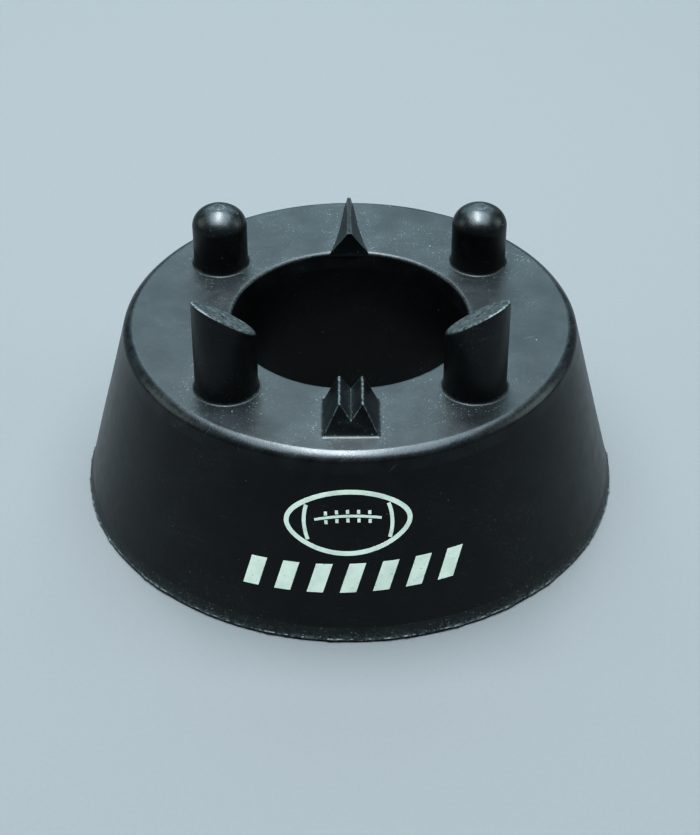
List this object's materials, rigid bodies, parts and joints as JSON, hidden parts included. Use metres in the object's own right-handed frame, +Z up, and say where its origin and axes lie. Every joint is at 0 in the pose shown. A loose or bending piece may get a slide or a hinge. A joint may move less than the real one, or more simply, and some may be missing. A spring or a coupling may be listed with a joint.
{
  "type": "rugby kicking tee",
  "caption": "Low cone-shaped rubber stand with a central hole, upright pegs and sighting marks on its deck. It holds a rugby ball upright on the ground for a place kick.",
  "frame": {"origin": "centre of the foot, on the ground", "axes": "+Z up; the kicker stands on the -Y side, where the notch sight and the printed mark are; +X to the kicker's right"},
  "size_m": [0.16, 0.16, 0.0858],
  "materials": {
    "deck_rubber": "satin moulded face with fine dust and scuffs",
    "skirt_rubber": "smooth semi-gloss moulded face",
    "foot_rubber": "worn, with a trimmed flash line",
    "throat_rubber": "satin moulded face",
    "peg_rubber": "smooth semi-gloss moulded face",
    "sight_rubber": "satin moulded face with crisp edges",
    "web_rubber": "matt moulded face",
    "print_ink": "pale pad-printed ink"
  },
  "bodies": {
    "root": {"top_deck": "deck_rubber", "outer_skirt": "skirt_rubber", "foot_rim": "foot_rubber", "throat_wall": "throat_rubber", "near_left_peg": "peg_rubber", "near_right_peg": "peg_rubber", "far_left_peg": "peg_rubber", "far_right_peg": "peg_rubber", "notch_sight": "sight_rubber", "ridge_sight": "sight_rubber", "near_left_web": "web_rubber", "near_right_web": "web_rubber", "far_left_web": "web_rubber", "far_right_web": "web_rubber", "notch_web": "web_rubber", "ridge_web": "web_rubber"}
  },
  "joints": []
}
